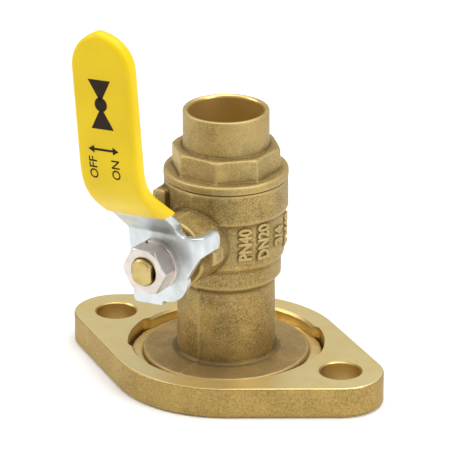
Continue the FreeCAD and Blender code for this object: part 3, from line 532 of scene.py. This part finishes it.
def text_mesh(words: str, size: float, height: float, bevel: float,
              bold: float) -> bmesh.types.BMesh:
    """Make words a mesh in the XY plane, centred on the origin.

    Args:
        words: what to write.
        size: the font size in metres.
        height: extrusion to each side in metres.
        bevel: rounding of the letters' edges in metres.
        bold: how far the letters' strokes are widened in metres.

    Returns:
        The words as a mesh.
    """
    curve = bpy.data.curves.new("words", "FONT")
    curve.body = words
    curve.size = size
    curve.extrude = height
    curve.bevel_depth = bevel
    curve.bevel_resolution = 1
    curve.align_x = "CENTER"
    curve.align_y = "CENTER"
    curve.offset = bold
    item = bpy.data.objects.new("words", curve)
    mesh = bpy.data.meshes.new_from_object(item)
    bm = bmesh.new()
    bm.from_mesh(mesh)
    bmesh.ops.remove_doubles(bm, verts=bm.verts, dist=0.001 * MM)
    bpy.data.objects.remove(item)
    bpy.data.curves.remove(curve)
    bpy.data.meshes.remove(mesh)
    return bm


def join(target: bmesh.types.BMesh, source: bmesh.types.BMesh) -> None:
    """Add one mesh to another and free it."""
    mesh = bpy.data.meshes.new("joining")
    source.to_mesh(mesh)
    source.free()
    target.from_mesh(mesh)
    bpy.data.meshes.remove(mesh)


def store(bm: bmesh.types.BMesh, name: str, values: list[float]) -> None:
    """Store one number for every vertex under a name that a material can read."""
    layer = bm.verts.layers.float.new(name)
    for vert, value in zip(bm.verts, values):
        vert[layer] = max(0.0, min(1.0, value))


def concavity(bm: bmesh.types.BMesh, rounds: int) -> list[float]:
    """Measure how far each vertex lies under its neighbours, averaged over a few rounds.

    Args:
        bm: an evenly meshed surface.
        rounds: how often the result is averaged with the neighbours.

    Returns:
        One length in metres for every vertex, positive in hollows.
    """
    bm.verts.index_update()
    near = [[edge.other_vert(vert).index for edge in vert.link_edges] for vert in bm.verts]
    places = [vert.co.copy() for vert in bm.verts]
    depths = [vert.normal.dot(sum((places[i] for i in around), Vector()) / len(around) - vert.co)
              for vert, around in zip(bm.verts, near)]
    for _ in range(rounds):
        depths = [(depth + sum(depths[i] for i in around)) / (1 + len(around))
                  for depth, around in zip(depths, near)]
    return depths


# ---- the valve ------------------------------------------------------------------------------------

@dataclass
class Casting:
    """Cast valve body: softened edges, mould seam, painted shade in the hollows and an uneven skin."""
    materials: dict[Slot, bpy.types.Material]
    voxel: float = 0.40 * MM
    passes: int = 2
    seam_height: float = 0.36 * MM
    seam_width: float = 0.42 * MM
    unevenness: float = 0.10 * MM
    machined_below: float = 0.4 * MM
    bore_keep: float = 13.9 * MM
    seam_out: float = 14.2 * MM
    seam_back_top: float = 40 * MM
    skin_top: float = 62.4 * MM
    small_lumps: float = 0.28 / MM
    large_lumps: float = 0.09 / MM
    marks: tuple[tuple[str, float], ...] = (("PN40", -38.0), ("DN20", -18.5), ("3/4", 3.0),
                                            ("PN40", 23.0))
    mark_radius: float = 17.55 * MM
    mark_middle: float = 47.3 * MM
    mark_size: float = 5.2 * MM
    mark_height: float = 0.42 * MM
    mark_bevel: float = 0.2 * MM
    mark_bold: float = 0.06 * MM
    mark_narrowing: float = 0.84
    # Width of the painted shade round the size marks
    mark_halo: float = 0.45 * MM
    halo_reach: float = 1.6 * MM
    halo_out: float = 17.0 * MM

    def build(self) -> None:
        """Build the body and its raised marks."""
        marks = self.mark_mesh()
        self.build_body(BVHTree.FromBMesh(marks))
        raised = [(math.hypot(vert.co.x, vert.co.y) - self.mark_radius) / self.mark_height
                  for vert in marks.verts]
        # Letter tops get painted highlight, letter feet get painted shade
        store(marks, "raised", raised)
        store(marks, "hollow", [0.7 - 1.6 * value for value in raised])
        add_piece("body_size_marks", marks, self.materials[Slot.CAST], Body.VALVE)

    def build_body(self, marks: BVHTree) -> None:
        """Soften the body, raise the seam where two halves of the mould met, paint shade into hollows and
        highlight onto bulges.
        """
        bm = remeshed(merged_copy("valve_body"), self.voxel, self.passes)
        depths = concavity(bm, 3)
        hollow, raised = [], []
        for vert, depth in zip(bm.verts, depths):
            place = vert.co
            out = math.hypot(place.x, place.y)
            # Painted shade in the hollows outside the bore
            crevice_shade = (depth / SHADING_DEPTH - 0.15) if out > self.bore_keep else 0.0
            # Painted shade round the size marks
            if out > self.halo_out:
                distance = marks.find_nearest(place, self.halo_reach)[3]
                if distance is not None:
                    crevice_shade = max(crevice_shade, 0.95 * math.exp(-(distance / self.mark_halo) ** 2))
            seam = 0.0
            if out >= self.bore_keep and self.machined_below <= place.z <= self.skin_top:
                lump = noise.noise(place * self.small_lumps) * self.unevenness
                lump += noise.noise(place * self.large_lumps) * self.unevenness * 1.5
                if out > self.seam_out and (place.y < 0 or place.z < self.seam_back_top):
                    seam = math.exp(-(place.x / self.seam_width) ** 2)
                vert.co = place + vert.normal * (lump + seam * self.seam_height)
            hollow.append(crevice_shade)
            # Painted highlight along the seam and on bulges
            raised.append(seam - depth / SHADING_DEPTH - 0.3)
        store(bm, "hollow", hollow)
        store(bm, "raised", raised)
        bm.normal_update()
        piece = add_piece("valve_body_casting", bm, self.materials[Slot.CAST], Body.VALVE)
        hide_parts("valve_body")

    def mark_mesh(self) -> bmesh.types.BMesh:
        """Bend the size marks round the recess, reading up the pipe."""
        marks = bmesh.new()
        for words, angle in self.marks:
            bm = text_mesh(words, self.mark_size, self.mark_height, self.mark_bevel,
                           self.mark_bold)
            turned = math.radians(angle)
            for vert in bm.verts:
                across, along, out = vert.co
                swing = turned - along / self.mark_radius
                radius = self.mark_radius + out
                vert.co = Vector((radius * math.cos(swing), radius * math.sin(swing),
                                  self.mark_middle + across * self.mark_narrowing))
            join(marks, bm)
        marks.normal_update()
        return marks


@dataclass
class SoftPart:
    """A part whose edges are softened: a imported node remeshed, smoothed and put in its place."""
    node: str
    name: str
    body: Body
    slot: Slot
    voxel: float
    passes: int

    def build(self, materials: dict[Slot, bpy.types.Material]) -> bpy.types.Object:
        """Build the piece."""
        bm = remeshed(merged_copy(self.node), self.voxel, self.passes)
        self.reshape(bm)
        depths = concavity(bm, 2)
        # Painted shade in hollows and painted highlight on bulges
        store(bm, "hollow", [depth / SHADING_DEPTH - 0.2 for depth in depths])
        store(bm, "raised", [-depth / SHADING_DEPTH - 0.3 for depth in depths])
        piece = add_piece(self.name, bm, materials[self.slot], self.body)
        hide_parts(self.node)
        return piece

    def reshape(self, bm: bmesh.types.BMesh) -> None:
        """Leave the softened mesh as it is."""


@dataclass
class DippedGrip(SoftPart):
    """The vinyl grip, with the slight point that the last drip leaves on its end."""
    drip_height: float = 0.9 * MM
    drip_width: float = 3.2 * MM
    drip_middle: float = -1.0 * MM
    drip_start: float = 66.0 * MM
    drip_reach: float = 8.0 * MM

    def reshape(self, bm: bmesh.types.BMesh) -> None:
        """Draw the end of the grip out to a slight point."""
        upright = Matrix.Rotation(LEVER_LEAN, 3, "Y")
        for vert in bm.verts:
            local = upright @ (vert.co - Vector((0, 0, STEM_HEIGHT)))
            share = max(0.0, (local.z - self.drip_start) / self.drip_reach)
            if share:
                aside = abs(local.x - self.drip_middle) / self.drip_width
                vert.co.z += self.drip_height * share ** 2 * math.exp(-aside)
        bm.normal_update()


@dataclass
class GripPrint:
    """Print on the grip: OFF, ON, a double arrow between them and a ball valve's symbol."""
    grip: bpy.types.Object
    material: bpy.types.Material
    lift: float = 0.03 * MM
    stroke: float = 0.7 * MM
    words: tuple[tuple[str, float], ...] = (("OFF", -4.5), ("ON", 3.1))
    words_up: float = 35.2
    words_size: float = 3.8 * MM
    words_bold: float = 0.055 * MM
    arrow_up: float = 40.7
    arrow_line: tuple[float, float] = (-4.2, 2.7)
    arrow_tips: tuple[float, float] = (-5.9, 4.4)
    arrow_head: float = 1.35 * MM
    symbol_middle: Triple = (-0.4 * MM, 54.0 * MM, 0)
    triangle_radius: float = 4.4 * MM
    triangle_out: float = 5.0 * MM
    ball_radius: float = 2.1 * MM
    start_front: float = -0.09

    def build(self) -> None:
        """Lay the print flat, then drop it onto the grip."""
        flat = bmesh.new()
        for words, across in self.words:
            bm = text_mesh(words, self.words_size, 0.0, 0.0, self.words_bold)
            bmesh.ops.rotate(bm, verts=bm.verts, matrix=Matrix.Rotation(math.pi / 2, 3, "Z"))
            bmesh.ops.translate(bm, verts=bm.verts, vec=(across * MM, self.words_up * MM, 0))
            join(flat, bm)
        self.arrow(flat)
        self.symbol(flat)
        bmesh.ops.triangulate(flat, faces=flat.faces)
        self.drop(flat)
        add_piece("grip_print", flat, self.material, Body.LEVER)

    def bar(self, bm: bmesh.types.BMesh, start: tuple[float, float], end: tuple[float, float],
            width: float) -> None:
        """Add a flat bar between two points in millimetres."""
        first, last = Vector((*start, 0)) * MM, Vector((*end, 0)) * MM
        along = last - first
        made = bmesh.ops.create_grid(bm, x_segments=8, y_segments=1, size=0.5)
        turn = Matrix.Rotation(math.atan2(along.y, along.x), 4, "Z")
        scale = Matrix.Diagonal((along.length, width, 1, 1))
        bmesh.ops.transform(bm, verts=made["verts"],
                            matrix=Matrix.Translation((first + last) / 2) @ turn @ scale)

    def head(self, bm: bmesh.types.BMesh, tip: tuple[float, float], angle: float,
             size: float) -> None:
        """Add a solid triangle with its tip at a point in millimetres."""
        made = bmesh.ops.create_circle(bm, segments=3, radius=size, cap_ends=True)
        turn = Matrix.Rotation(math.radians(angle), 4, "Z")
        shift = Matrix.Translation((0, -size, 0))
        bmesh.ops.transform(bm, verts=made["verts"],
                            matrix=Matrix.Translation(Vector((*tip, 0)) * MM) @ turn @ shift)

    def arrow(self, bm: bmesh.types.BMesh) -> None:
        """Add the double arrow across the grip."""
        start, end = self.arrow_line
        self.bar(bm, (start, self.arrow_up), (end, self.arrow_up), self.stroke)
        for tip, angle in zip(self.arrow_tips, (90.0, -90.0)):
            self.head(bm, (tip, self.arrow_up), angle, self.arrow_head)

    def symbol(self, bm: bmesh.types.BMesh) -> None:
        """Add the symbol: two triangles nose to nose with a ball between them."""
        middle = Matrix.Translation(self.symbol_middle)
        out = Matrix.Translation((0, -self.triangle_out, 0))
        for turn in (0.0, math.pi):
            made = bmesh.ops.create_circle(bm, segments=3, radius=self.triangle_radius,
                                           cap_ends=True)
            bmesh.ops.transform(bm, verts=made["verts"],
                                matrix=middle @ Matrix.Rotation(turn, 4, "Z") @ out)
        bmesh.ops.create_circle(bm, segments=32, radius=self.ball_radius, cap_ends=True,
                                matrix=middle)

    def drop(self, bm: bmesh.types.BMesh) -> None:
        """Lean the print with the lever and drop it onto the grip's front."""
        mesh = self.grip.data
        surface = BVHTree.FromPolygons([v.co for v in mesh.vertices],
                                       [p.vertices for p in mesh.polygons])
        lean = Matrix.Rotation(-LEVER_LEAN, 3, "Y")
        for vert in bm.verts:
            local = lean @ Vector((vert.co.x, 0, vert.co.y))
            start = Vector((local.x, self.start_front, local.z + STEM_HEIGHT))
            hit = surface.ray_cast(start, Vector((0, 1, 0)))[0]
            vert.co = Vector((start.x, hit.y - self.lift, start.z))


@dataclass(frozen=True)
class Softbox:
    """A rectangular soft light that faces the valve."""
    name: str
    place: Triple
    size: tuple[float, float]
    watts: float
    aim: Triple = (0, 0, 0.05)

    def build(self) -> None:
        """Hang the light."""
        light = bpy.data.lights.new(self.name, "AREA")
        light.shape = "RECTANGLE"
        light.size, light.size_y = self.size
        light.energy = self.watts
        item = bpy.data.objects.new(self.name, light)
        item.location = self.place
        towards = Vector(self.aim) - Vector(self.place)
        item.rotation_euler = towards.to_track_quat("-Z", "Y").to_euler()
        bpy.context.scene.collection.objects.link(item)


@dataclass
class Studio:
    """Floor, soft lights and the camera."""
    camera_place: Triple = (0.5051, -0.7712, 0.4260)
    camera_down: float = 22.4304
    camera_round: float = 33.17
    lens: float = 265.55
    floor_half: float = 4.0
    sky_low: Colour = (0.42, 0.42, 0.43)
    sky_high: Colour = (1, 1, 1)
    sky_bright_from: float = 0.75
    sky_strength: float = 0.55
    softboxes: tuple[Softbox, ...] = (
        Softbox("top", (0.1, 0.1, 1.1), (1.2, 1.2), 13.0),
        Softbox("left", (-0.7, -0.45, 0.6), (0.5, 0.7), 4.0),
        Softbox("right", (0.75, -0.1, 0.45), (0.3, 0.7), 3.0),
    )

    def build(self) -> None:
        """Set the stage."""
        self.camera()
        self.floor()
        self.world()
        for softbox in self.softboxes:
            softbox.build()
        bpy.context.scene.view_settings.view_transform = "Standard"

    def camera(self) -> None:
        """Stand the camera in its place and make it the scene's camera."""
        data = bpy.data.cameras.new("camera")
        data.lens = self.lens
        data.sensor_width = 36.0
        data.clip_start = 0.01
        item = bpy.data.objects.new("camera", data)
        item.location = self.camera_place
        item.rotation_euler = (math.radians(90 - self.camera_down), 0,
                               math.radians(self.camera_round))
        bpy.context.scene.collection.objects.link(item)
        bpy.context.scene.camera = item

    def floor(self) -> None:
        """Lay the plain pale floor."""
        bm = bmesh.new()
        bmesh.ops.create_grid(bm, x_segments=1, y_segments=1, size=self.floor_half)
        mesh = bpy.data.meshes.new("floor")
        bm.to_mesh(mesh)
        bm.free()
        mesh.materials.append(Paper().build())
        plane = bpy.data.objects.new("floor", mesh)
        bpy.context.scene.collection.objects.link(plane)

    def world(self) -> None:
        """Fill the surroundings with light that is bright above and dimmer near the floor."""
        world = bpy.data.worlds.new("studio")
        bpy.context.scene.world = world
        world.use_nodes = True
        tree = world.node_tree
        up = tree.nodes.new("ShaderNodeSeparateXYZ")
        ramp = tree.nodes.new("ShaderNodeValToRGB")
        low, high = ramp.color_ramp.elements
        low.position = 0.0
        low.color = (*self.sky_low, 1)
        high.position = self.sky_bright_from
        high.color = (*self.sky_high, 1)
        tree.links.new(tree.nodes.new("ShaderNodeTexCoord").outputs["Generated"], up.inputs[0])
        tree.links.new(up.outputs["Z"], ramp.inputs[0])
        tree.links.new(ramp.outputs[0], tree.nodes["Background"].inputs["Color"])
        tree.nodes["Background"].inputs["Strength"].default_value = self.sky_strength


def dress_nodes(materials: dict[Slot, bpy.types.Material]) -> None:
    """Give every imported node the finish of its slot."""
    for part in frame["record"]["subparts"]:
        node = frame["nodes"][part["node"]]
        node.data.materials.clear()
        node.data.materials.append(materials[Slot(part["material_slot"])])
        log.info("%s: %s", part["node"], part["material_slot"])


def main() -> None:
    """Build the studio and every piece, in order."""
    Studio().build()
    materials = finishes()
    dress_nodes(materials)
    Casting(materials).build()
    soft_parts = [
        SoftPart("end_adapter", "end_adapter_soft", Body.VALVE, Slot.CAST, 0.30 * MM, 4),
        SoftPart("lever", "lever_soft", Body.LEVER, Slot.ZINC, 0.32 * MM, 4),
        DippedGrip("lever_grip", "grip_soft", Body.LEVER, Slot.VINYL, 0.36 * MM, 5),
        SoftPart("lever_nut", "nut_soft", Body.LEVER, Slot.NUT, 0.16 * MM, 1),
        SoftPart("lock_washer", "washer_soft", Body.LEVER, Slot.NUT, 0.16 * MM, 2),
        SoftPart("packing_gland", "gland_soft", Body.VALVE, Slot.TURNED, 0.24 * MM, 2),
        SoftPart("stem", "stem_soft", Body.LEVER, Slot.TURNED, 0.16 * MM, 1),
    ]
    built = {part.node: part.build(materials) for part in soft_parts}
    GripPrint(built["lever_grip"], PadPrint().build()).build()


if __name__ == "__main__":
    main()
